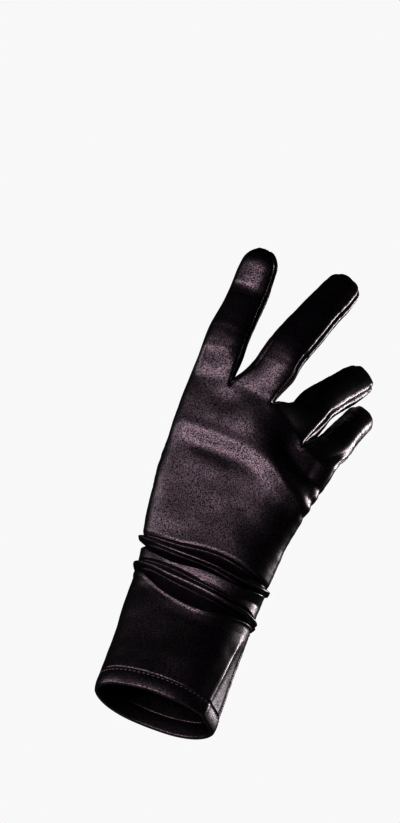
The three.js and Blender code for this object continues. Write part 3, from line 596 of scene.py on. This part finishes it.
def buildThumb(handIds):
    top = thumbHole["firstRow"] + thumbHole["rows"]
    end = thumbHole["firstColumn"] + thumbHole["columns"]
    low, start = thumbHole["firstRow"], thumbHole["firstColumn"]
    edge = np.concatenate([
        handIds[top, start + 1:end + 1][::-1], handIds[low + 1:top + 1, start][::-1],
        handIds[low, start:end], handIds[low:top, end],
    ])
    spots = pointsOf(edge)
    centre = spots.mean(axis=0)
    spot = oneSpot(handLine, palmAt(form["thumbLevel"]))
    line, length = boneLine({**spot, "centre": centre}, thumb["bones"])
    rootSpot = oneSpot(line, 0.0)
    fromCentre = spots - centre
    angles = np.arctan2(fromCentre @ rootSpot["side"], fromCentre @ rootSpot["back"])
    turns = np.degrees(np.unwrap(angles))
    growTube(edge, line, {
        "from": 0.0, "length": length, "breadth": thumb["breadth"], "depth": thumb["depth"],
        "blend": form["thumbBlend"], "across": thumbHole["columns"], "deep": thumbHole["rows"],
        "turnsAt": lambda share: turns, "pieces": "thumb", "seamColumn": None,
        "tipPiece": "thumb", "tipSeam": False, "part": "thumb",
    })


def finishNet():
    for name in ("points", "patches"):
        net[name] = np.vstack(net[name])
    for name in ("turn", "along", "part", "pieces"):
        net[name] = np.concatenate(net[name])
    net["seams"] = np.vstack(net["seams"])


def netNormals(points):
    a, b, c, d = (points[net["patches"][:, k]] for k in range(4))
    facing = np.cross(c - a, d - b)
    normals = np.zeros_like(points)
    for k in range(4):
        np.add.at(normals, net["patches"][:, k], facing)
    return normals / np.maximum(np.linalg.norm(normals, axis=1), 1e-9)[:, None]


# The four edges of each patch as pairs of its corners.
def edgesOf(corners):
    return np.stack([corners, np.roll(corners, -1, axis=1)], -1).reshape(-1, 2)


# Every edge where two pieces are sewn together, or one piece to itself.
def seamEdges():
    key = np.sort(edgesOf(net["patches"]), axis=1)
    order = np.lexsort((key[:, 1], key[:, 0]))
    key, owner = key[order], order // 4
    same = np.all(key[1:] == key[:-1], axis=1)
    firstOf = np.nonzero(same)[0]
    differs = net["pieces"][owner[firstOf]] != net["pieces"][owner[firstOf + 1]]
    between = key[firstOf[differs]]
    return np.unique(np.vstack([between, np.sort(net["seams"], axis=1)]), axis=0)


# How the cloth dips, stands up and puckers along the seams, in millimetres.
seamLook = {
    "groove": 0.75, "grooveWidth": 0.75, "lip": 0.3, "lipAt": 1.7, "lipWidth": 0.75,
    "pucker": 0.3, "puckerReach": 4.5, "puckerPitch": 3.2, "finePitch": 1.44, "fineShare": 0.6,
}


def seamRelief(points, edges):
    tree = kdtree.KDTree(len(edges) * 4)
    a, b = points[edges[:, 0]], points[edges[:, 1]]
    samples = np.concatenate([mix(a, b, t) for t in (0.0, 0.25, 0.5, 0.75)])
    for i, sample in enumerate(samples):
        tree.insert(sample, i)
    tree.balance()
    relief = np.zeros(len(points))
    reach = seamLook["puckerReach"]
    for i, point in enumerate(points):
        spot, _, distance = tree.find(point)
        if distance > 3 * reach:
            continue
        wave = noise.noise(spot / seamLook["puckerPitch"])
        wave += seamLook["fineShare"] * noise.noise(spot / seamLook["finePitch"])
        relief[i] = (
            -seamLook["groove"] * hump(distance, seamLook["grooveWidth"])
            + seamLook["lip"] * hump(distance - seamLook["lipAt"], seamLook["lipWidth"])
            + seamLook["pucker"] * wave * math.exp(-distance / reach)
        )
    return relief


# Soft unevenness of the stretched cloth, and its creases over the joints, in millimetres.
softLook = {
    "roll": 0.5, "rollSize": 17.0, "ripple": 0.12, "rippleSize": 6.0, "rippleShift": (7.0, 3.0, 1.0),
    "jointCrease": 0.4, "creaseWidth": 0.9, "creaseStep": 2.6, "creaseBow": 0.9,
    "palmFold": 0.9, "foldWidth": 1.7, "sideShare": 1.6,
}


def softRelief(points):
    shift = Vector(softLook["rippleShift"])
    return np.array([
        softLook["roll"] * noise.noise(Vector(p) / softLook["rollSize"])
        + softLook["ripple"] * noise.noise(Vector(p) / softLook["rippleSize"] + shift)
        for p in points
    ])


# Cloth creases at the finger joints: fine ones over the back, deeper folds on the palm's side.
def jointRelief():
    relief = np.zeros(net["count"])
    digits = {**fingers, "thumb": thumb}
    for name, digit in digits.items():
        chosen = net["part"] == partNames.index(name)
        turn, along = net["turn"][chosen], net["along"][chosen]
        onBack = np.cos(np.radians(turn)) * softLook["sideShare"]
        bow = np.sin(np.radians(turn)) * softLook["creaseBow"]
        added = np.zeros(turn.shape)
        place = 0.0
        for length, _, _ in digit["bones"][:-1]:
            place += length
            for step in (-1, 0, 1):
                distance = along - place - bow - step * softLook["creaseStep"]
                crease = softLook["jointCrease"] * hump(distance, softLook["creaseWidth"])
                added -= crease * ease(onBack)
            fold = softLook["palmFold"] * hump(along - place + bow, softLook["foldWidth"])
            added -= fold * ease(-onBack)
        relief[chosen] = added
    return relief


handIds = buildHand()
buildFingers(handIds)
buildThumb(handIds)
finishNet()
print("net of", len(net["points"]), "points and", len(net["patches"]), "patches")

allSeams = seamEdges()
basePoints = net["points"]
relief = seamRelief(basePoints, allSeams) + softRelief(basePoints) + jointRelief()
net["points"] = basePoints + netNormals(basePoints) * relief[:, None]
net["normals"] = netNormals(net["points"])
print("creases and seams laid in")


# One cut piece as thin closed cloth: outer face, inner face and the rim between them.
def clothMesh(piece):
    chosen = np.nonzero(net["pieces"] == piece)[0]
    patches = net["patches"][chosen]
    corners = np.arange(patches.size).reshape(-1, 4)
    ends = edgesOf(corners)
    key = np.sort(edgesOf(patches), axis=1)
    sewn = {tuple(edge) for edge in np.sort(net["seams"], axis=1)}
    byKey = {}
    for k, pair in enumerate(map(tuple, key)):
        byKey.setdefault(pair, []).append(k)
    parent = list(range(patches.size))

    def find(k):
        while parent[k] != k:
            parent[k] = parent[parent[k]]
            k = parent[k]
        return k

    rims = []
    for pair, users in byKey.items():
        if len(users) < 2 or pair in sewn:
            rims.extend(users)
            continue
        one, two = users
        parent[find(ends[one, 0])] = find(ends[two, 1])
        parent[find(ends[one, 1])] = find(ends[two, 0])
    roots = np.array([find(k) for k in range(patches.size)])
    unique, vertex = np.unique(roots, return_inverse=True)
    ids = patches.reshape(-1)[unique]
    faces = vertex.reshape(-1, 4)
    points = net["points"][ids].copy()
    middle = net["points"][patches].mean(axis=1)
    drawIn = np.zeros_like(points)
    for k in rims:
        low, high = vertex[ends[k, 0]], vertex[ends[k, 1]]
        along = points[high] - points[low]
        along /= max(np.linalg.norm(along), 1e-9)
        inward = middle[k // 4] - points[low]
        inward -= along * inward.dot(along)
        inward /= max(np.linalg.norm(inward), 1e-9)
        drawIn[low] += inward
        drawIn[high] += inward
    size = np.linalg.norm(drawIn, axis=1)
    moved = size > 1e-6
    points[moved] += drawIn[moved] / size[moved, None] * form["seamGap"] / 2
    inner = points - net["normals"][ids] * form["cloth"]
    count = len(points)
    low, high = vertex[ends[rims, 0]], vertex[ends[rims, 1]]
    rimFaces = np.stack([high, low, low + count, high + count], -1).tolist()
    allFaces = faces.tolist() + (faces[:, ::-1] + count).tolist() + rimFaces
    mesh = bpy.data.meshes.new(piece)
    mesh.from_pydata((np.vstack([points, inner]) * mm).tolist(), [], allFaces)
    mesh.shade_smooth()
    mesh.validate()
    return mesh


def fromHex(code):
    parts = [int(code[i:i + 2], 16) / 255 for i in (1, 3, 5)]
    return [c / 12.92 if c <= 0.04045 else ((c + 0.055) / 1.055) ** 2.4 for c in parts] + [1.0]


def addNode(tree, kind, settings=None, links=None):
    node = tree.nodes.new(kind)
    for name, value in (settings or {}).items():
        if isinstance(name, int) or name in node.inputs:
            node.inputs[name].default_value = value
        else:
            setattr(node, name, value)
    for name, source in (links or {}).items():
        tree.links.new(source, node.inputs[name])
    return node


# Satin woven of bright polyester floats over elastane: the floats give a soft wide highlight on a
# nearly black aubergine ground, and the crossing yarns break it into fine grain. The real yarns lie
# about 0.15 mm apart; the grain is drawn at grainSize so that it shows. Sizes are in mm.
satinLook = {
    "ground": "#030204", "float": "#070508", "glint": "#F0D2E3",
    "grainSize": 0.5, "grainRange": (0.4, 0.6), "shine": (0.1, 1.0),
    "yarnHeight": 0.012, "yarnRelief": 0.4,
    "cloudSize": 22.0, "cloudRange": (0.3, 0.7), "roughness": (0.29, 0.37),
}


# A new material and its empty tree, with the Object coordinates that its patterns lie on.
def newMaterial(name):
    material = bpy.data.materials.new(name)
    material.use_nodes = True
    tree = material.node_tree
    tree.nodes.clear()
    return material, tree, addNode(tree, "ShaderNodeTexCoord").outputs["Object"]


# A pattern's value carried from one range to another.
def addRange(tree, pattern, to, given=(0.0, 1.0)):
    return addNode(tree, "ShaderNodeMapRange",
                   {"From Min": given[0], "From Max": given[1], "To Min": to[0], "To Max": to[1]},
                   {"Value": pattern.outputs["Fac"]})


def makeSatin(name):
    material, tree, where = newMaterial(name)
    grain = addNode(tree, "ShaderNodeTexNoise",
                    {"Scale": 1 / (satinLook["grainSize"] * mm), "Detail": 1.0, "Roughness": 0.7},
                    {"Vector": where})
    cloud = addNode(tree, "ShaderNodeTexNoise",
                    {"Scale": 1 / (satinLook["cloudSize"] * mm), "Detail": 2.0}, {"Vector": where})
    colour = addNode(tree, "ShaderNodeMix",
                     {"data_type": "RGBA", "A": fromHex(satinLook["ground"]),
                      "B": fromHex(satinLook["float"])},
                     {"Factor": grain.outputs["Fac"]})
    shine = addRange(tree, grain, satinLook["shine"], satinLook["grainRange"])
    rough = addRange(tree, cloud, satinLook["roughness"], satinLook["cloudRange"])
    yarns = addNode(tree, "ShaderNodeBump",
                    {"Strength": satinLook["yarnRelief"], "Distance": satinLook["yarnHeight"] * mm},
                    {"Height": grain.outputs["Fac"]})
    shader = addNode(tree, "ShaderNodeBsdfPrincipled",
                     {"IOR": 1.54, "Metallic": 0.0, "Specular Tint": fromHex(satinLook["glint"])},
                     {"Base Color": colour.outputs["Result"], "Roughness": rough.outputs["Result"],
                      "Specular IOR Level": shine.outputs["Result"], "Normal": yarns.outputs["Normal"]})
    addNode(tree, "ShaderNodeOutputMaterial", {}, {"Surface": shader.outputs["BSDF"]})
    return material


# Polyester sewing thread, spun from plies and dyed near the cloth: the light and shade that the twist
# catches are painted into each stitch as short lit and shaded flecks. The real twist is 0.2 mm and is
# drawn twice as coarse to show.
threadLook = {"shaded": "#463648", "lit": "#6E5870", "twist": 0.4, "plyHeight": 0.04,
              "plyRelief": 0.5, "roughness": (0.38, 0.55)}


def makeThread(name):
    material, tree, where = newMaterial(name)
    plies = addNode(tree, "ShaderNodeTexNoise",
                    {"Scale": 1 / (threadLook["twist"] * mm), "Detail": 1.0}, {"Vector": where})
    # Painted light and shade: the plies' noise mixes the thread's shaded and lit tones into its base
    # colour.
    colour = addNode(tree, "ShaderNodeMix",
                     {"data_type": "RGBA", "A": fromHex(threadLook["shaded"]),
                      "B": fromHex(threadLook["lit"])},
                     {"Factor": plies.outputs["Fac"]})
    rough = addRange(tree, plies, threadLook["roughness"])
    twist = addNode(tree, "ShaderNodeBump",
                    {"Strength": threadLook["plyRelief"], "Distance": threadLook["plyHeight"] * mm},
                    {"Height": plies.outputs["Fac"]})
    shader = addNode(tree, "ShaderNodeBsdfPrincipled", {"IOR": 1.54, "Metallic": 0.0},
                     {"Base Color": colour.outputs["Result"], "Roughness": rough.outputs["Result"],
                      "Normal": twist.outputs["Normal"]})
    addNode(tree, "ShaderNodeOutputMaterial", {}, {"Surface": shader.outputs["BSDF"]})
    return material


def makePlain(name, code, roughness):
    material = bpy.data.materials.new(name)
    material.use_nodes = True
    shader = material.node_tree.nodes["Principled BSDF"]
    shader.inputs["Base Color"].default_value = fromHex(code)
    shader.inputs["Roughness"].default_value = roughness
    return material


def addObject(name, mesh, material=None):
    if material:
        mesh.materials.append(material)
    piece = bpy.data.objects.new(name, mesh)
    bpy.context.scene.collection.objects.link(piece)
    return piece


satin = makeSatin("stretchSatin")

# Each cut piece as thin cloth of satin on the root body, in place of its solid. A stretch
# glove is cut about a tenth smaller than its worn form.
for piece in pieceNames:
    body = addObject(piece + "_cloth", clothMesh(piece), satin)
    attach(body, "root")
    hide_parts(piece)
    print(body.name, len(body.data.polygons), "faces")

# The hem: the cloth turned up inside, rolled at its lower edge and dipping at its line of stitches.
hemLook = {
    "wall": 2.1, "swell": 0.35, "swellShape": 0.8, "steps": 8, "columns": 288,
    "wave": 0.35, "waveSize": 14, "seamAt": 90, "seamTurn": 2.2, "seamDip": 0.5,
    "stitchAt": 7.3, "stitchPitch": 2.3, "stitchLength": 1.5, "threadWidth": 0.42,
    "stitchLift": 0.1, "stitchWander": 0.12, "stitchSeed": 4, "innerEdge": (0.3, 0.4),
}


def hemMesh():
    top = form["hemHeight"]
    wall = hemLook["wall"]
    roll = wall / 2
    upOuter = np.linspace(roll, top, hemLook["steps"] + 1)
    share = np.clip((upOuter - roll) / (top - roll), 0, 1)
    outwards = hemLook["swell"] * np.sin(np.pi * share) ** hemLook["swellShape"]
    outwards[-1] -= seamLook["groove"]
    arc = np.linspace(0, np.pi, hemLook["steps"] + 1)[1:-1]
    profile = list(zip(outwards, upOuter))[::-1]
    profile += [(-roll + roll * math.cos(a), roll - roll * math.sin(a)) for a in arc]
    edgeOut, edgeUp = hemLook["innerEdge"]
    profile += [(-wall, roll), (-wall, top / 2), (-wall, top - edgeUp), (-wall + edgeOut, top)]
    turns = np.linspace(0, 360, hemLook["columns"], endpoint=False)
    seam = hemLook["seamDip"] * hump(turns - hemLook["seamAt"], hemLook["seamTurn"])
    points = []
    for out, up in profile:
        face = handPoints(turns, up)
        aside = handPoints(turns + 1, up) - handPoints(turns - 1, up)
        outward = np.cross(aside, [0.0, 0.0, 1.0])
        outward /= np.linalg.norm(outward, axis=1)[:, None]
        ring = face + outward * out
        wave = np.array([noise.noise(Vector((p[0], p[1], 0)) / hemLook["waveSize"]) for p in face])
        ring[:, 2] += hemLook["wave"] * wave * (1 - up / top)
        ring -= outward * (seam * (out > -roll))[:, None]
        points.append(ring)
    rings = np.stack(points)
    rows, columns = rings.shape[:2]
    index = np.arange(rows * columns).reshape(rows, columns)
    faces = []
    for i in range(rows):
        j = (i + 1) % rows
        a, b = index[i], np.roll(index[i], -1)
        c, d = np.roll(index[j], -1), index[j]
        faces += np.stack([a, d, c, b], -1).tolist()
    mesh = bpy.data.meshes.new("hem")
    mesh.from_pydata((rings.reshape(-1, 3) * mm).tolist(), [], faces)
    mesh.shade_smooth()
    mesh.validate()
    return mesh


def stitchTree():
    tree = bpy.data.node_groups.new("hemStitches", "GeometryNodeTree")
    face = tree.interface
    face.new_socket("Geometry", in_out="INPUT", socket_type="NodeSocketGeometry")
    for name in ("Pitch", "Stitch Length", "Thread Width", "Wander"):
        face.new_socket(name, in_out="INPUT", socket_type="NodeSocketFloat")
    face.new_socket("Seed", in_out="INPUT", socket_type="NodeSocketInt")
    face.new_socket("Thread", in_out="INPUT", socket_type="NodeSocketMaterial")
    face.new_socket("Geometry", in_out="OUTPUT", socket_type="NodeSocketGeometry")
    given = addNode(tree, "NodeGroupInput").outputs
    line = addNode(tree, "GeometryNodeMeshToCurve", {}, {"Mesh": given["Geometry"]})
    even = addNode(tree, "GeometryNodeResampleCurve", {"mode": "LENGTH"},
                   {"Curve": line.outputs["Curve"], "Length": given["Pitch"]})
    ball = addNode(tree, "GeometryNodeMeshUVSphere", {"Segments": 8, "Rings": 6, "Radius": 0.5})
    size = addNode(tree, "ShaderNodeCombineXYZ", {},
                   {"X": given["Stitch Length"], "Y": given["Thread Width"], "Z": given["Thread Width"]})
    stitch = addNode(tree, "GeometryNodeTransform", {},
                     {"Geometry": ball.outputs["Mesh"], "Scale": size.outputs[0]})
    tangent = addNode(tree, "GeometryNodeInputTangent")
    wander = addNode(tree, "FunctionNodeRandomValue",
                     {"data_type": "FLOAT_VECTOR", "Min": (0.0, 0.0, 0.0)}, {"Seed": given["Seed"]})
    spread = addNode(tree, "ShaderNodeVectorMath", {"operation": "SCALE"},
                     {0: wander.outputs[0], "Scale": given["Wander"]})
    lean = addNode(tree, "ShaderNodeVectorMath", {"operation": "ADD"},
                   {0: tangent.outputs[0], 1: spread.outputs[0]})
    turned = addNode(tree, "FunctionNodeAlignRotationToVector", {"axis": "X"}, {"Vector": lean.outputs[0]})
    placed = addNode(tree, "GeometryNodeInstanceOnPoints", {},
                     {"Points": even.outputs["Curve"], "Instance": stitch.outputs["Geometry"],
                      "Rotation": turned.outputs["Rotation"]})
    real = addNode(tree, "GeometryNodeRealizeInstances", {}, {"Geometry": placed.outputs["Instances"]})
    dyed = addNode(tree, "GeometryNodeSetMaterial", {},
                   {"Geometry": real.outputs["Geometry"], "Material": given["Thread"]})
    addNode(tree, "NodeGroupOutput", {}, {"Geometry": dyed.outputs["Geometry"]})
    return tree


def addStitches(thread):
    ring = handPoints(np.arange(360), hemLook["stitchAt"])
    middle = ring.mean(axis=0)
    outward = (ring - middle) / np.linalg.norm(ring - middle, axis=1)[:, None]
    ring = ring + outward * hemLook["stitchLift"]
    mesh = bpy.data.meshes.new("stitchLine")
    edges = [(i, (i + 1) % len(ring)) for i in range(len(ring))]
    mesh.from_pydata((ring * mm).tolist(), edges, [])
    line = addObject("stitchLine", mesh)
    tree = stitchTree()
    sockets = {item.name: item.identifier for item in tree.interface.items_tree if item.in_out == "INPUT"}
    modifier = line.modifiers.new("stitches", "NODES")
    modifier.node_group = tree
    settings = {
        "Pitch": hemLook["stitchPitch"] * mm, "Stitch Length": hemLook["stitchLength"] * mm,
        "Thread Width": hemLook["threadWidth"] * mm, "Wander": hemLook["stitchWander"],
        "Seed": hemLook["stitchSeed"], "Thread": thread,
    }
    for name, value in settings.items():
        modifier[sockets[name]] = value
    bpy.context.view_layer.update()
    made = bpy.data.meshes.new_from_object(line.evaluated_get(bpy.context.evaluated_depsgraph_get()))
    line.modifiers.remove(modifier)
    bpy.data.objects.remove(line)
    made.name = "hemStitching"
    return addObject("hem_stitches", made)


thread = makeThread("spunPolyesterThread")
stitches = addStitches(thread)
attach(stitches, "root")
hem = addObject("hem_band", hemMesh(), satin)
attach(hem, "root")
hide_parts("hem")
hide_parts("hem")

# Studio: pale floor and surround. A wide low softbox and a weaker one above it stand in front, one
# at the left lights the sides of the fingers, and one at the right from behind lights the side of
# the cuff. The camera looks up from below and is tilted. frame and originAt are in pixels.
studio = {
    "eyeDistance": 2.2, "eyeElevation": -26.0, "lean": 21.0, "pixelsPerMm": 2.2,
    "frame": (400, 823), "originAt": (155, 712), "floorAt": -1.25, "floorHalf": 4.0,
    "sensorMm": 36.0, "clipStart": 0.1, "aimAt": (0.0, -0.01, 0.12), "roomLight": 0.01, "gamma": 0.72,
}
# Each light's azimuth and elevation in degrees, distance and size in metres, power in watts.
lights = {
    "frontSoftbox": (-31, -23, 1.6, (3.0, 0.52), 56),
    "frontFill": (-29, -2, 1.6, (2.5, 0.3), 3.8),
    "leftSoftbox": (-92, -3, 1.6, (1.3, 0.36), 10),
    "rightStrip": (116, 28, 1.2, (0.5, 0.5), 14),
}


def addCamera():
    e = math.radians(studio["eyeElevation"])
    lean = math.radians(studio["lean"])
    ahead = Vector((0, math.cos(e), -math.sin(e)))
    gloveUp = Vector((0, math.sin(e), math.cos(e)))
    gloveAcross = Vector((1, 0, 0))
    right = math.cos(lean) * gloveAcross + math.sin(lean) * gloveUp
    up = -math.sin(lean) * gloveAcross + math.cos(lean) * gloveUp
    width, height = studio["frame"]
    shiftRight = (width / 2 - studio["originAt"][0]) / studio["pixelsPerMm"] * mm
    shiftUp = (studio["originAt"][1] - height / 2) / studio["pixelsPerMm"] * mm
    centre = right * shiftRight + up * shiftUp
    eye = centre - ahead * studio["eyeDistance"]
    data = bpy.data.cameras.new("eye")
    data.sensor_width = studio["sensorMm"]
    data.lens = data.sensor_width * studio["eyeDistance"] / (height / studio["pixelsPerMm"] * mm)
    data.clip_start = studio["clipStart"]
    camera = bpy.data.objects.new("eye", data)
    camera.matrix_world = Matrix((
        (right.x, up.x, -ahead.x, eye.x), (right.y, up.y, -ahead.y, eye.y),
        (right.z, up.z, -ahead.z, eye.z), (0, 0, 0, 1),
    ))
    bpy.context.scene.collection.objects.link(camera)
    bpy.context.scene.camera = camera


def addLight(name, azimuth, elevation, distance, size, power):
    target = Vector(studio["aimAt"])
    a, e = math.radians(azimuth), math.radians(elevation)
    away = Vector((math.sin(a) * math.cos(e), -math.cos(a) * math.cos(e), math.sin(e)))
    data = bpy.data.lights.new(name, "AREA")
    data.shape = "RECTANGLE"
    data.size, data.size_y = size
    data.energy = power
    light = bpy.data.objects.new(name, data)
    light.location = target + away * distance
    light.rotation_euler = (-away).to_track_quat("-Z", "Y").to_euler()
    bpy.context.scene.collection.objects.link(light)


def addSurround():
    world = bpy.data.worlds.new("paleRoom")
    world.use_nodes = True
    tree = world.node_tree
    tree.nodes.clear()
    path = addNode(tree, "ShaderNodeLightPath")
    seen = addNode(tree, "ShaderNodeBackground", {"Color": fromHex("#FAFAFA"), "Strength": 1.0})
    lit = addNode(tree, "ShaderNodeBackground",
                  {"Color": fromHex("#FFFFFF"), "Strength": studio["roomLight"]})
    blend = addNode(tree, "ShaderNodeMixShader", {},
                    {0: path.outputs["Is Camera Ray"], 1: lit.outputs[0], 2: seen.outputs[0]})
    addNode(tree, "ShaderNodeOutputWorld", {}, {"Surface": blend.outputs[0]})
    bpy.context.scene.world = world


def addFloor():
    mesh = bpy.data.meshes.new("floor")
    half, z = studio["floorHalf"], studio["floorAt"]
    corners = [(-half, -half, z), (half, -half, z), (half, half, z), (-half, half, z)]
    mesh.from_pydata(corners, [], [(0, 1, 2, 3)])
    floor = addObject("floor", mesh, makePlain("paleFloorPaint", "#E9E7E4", 0.7))


addCamera()
for name, setting in lights.items():
    addLight(name, *setting)
addSurround()
addFloor()
bpy.context.scene.view_settings.view_transform = "Standard"
bpy.context.scene.view_settings.gamma = studio["gamma"]
print("studio set")
